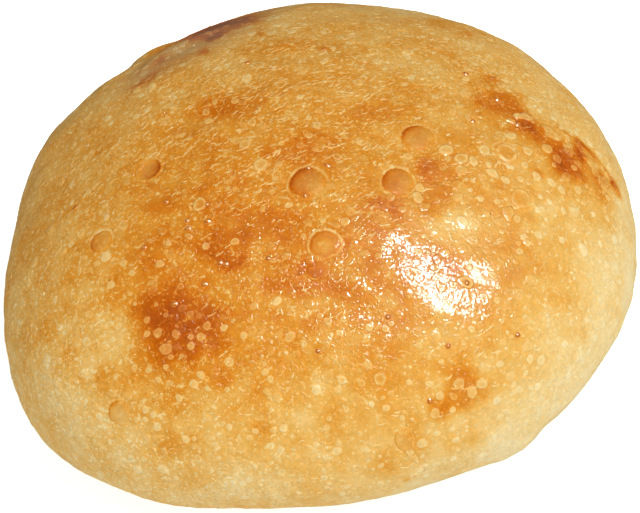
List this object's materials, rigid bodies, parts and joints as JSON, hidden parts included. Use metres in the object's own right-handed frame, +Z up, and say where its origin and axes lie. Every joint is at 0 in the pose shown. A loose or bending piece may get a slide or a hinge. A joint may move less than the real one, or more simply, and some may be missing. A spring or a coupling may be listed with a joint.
{
  "type": "dinner roll",
  "caption": "Round baked dinner roll with a low domed crust, covered in small blisters and browned in patches, tucked in to a flat base that it rests on.",
  "frame": {"origin": "on the flat base, under the middle of the roll's box in plan", "axes": "+Z up out of the crown; -Y faces the picture's viewer and +X is to the viewer's right"},
  "size_m": [0.0924, 0.0906, 0.042],
  "materials": {
    "crust": "golden baked crust with a waxy sheen"
  },
  "bodies": {
    "root": {"dinner_roll": "crust"}
  },
  "joints": []
}
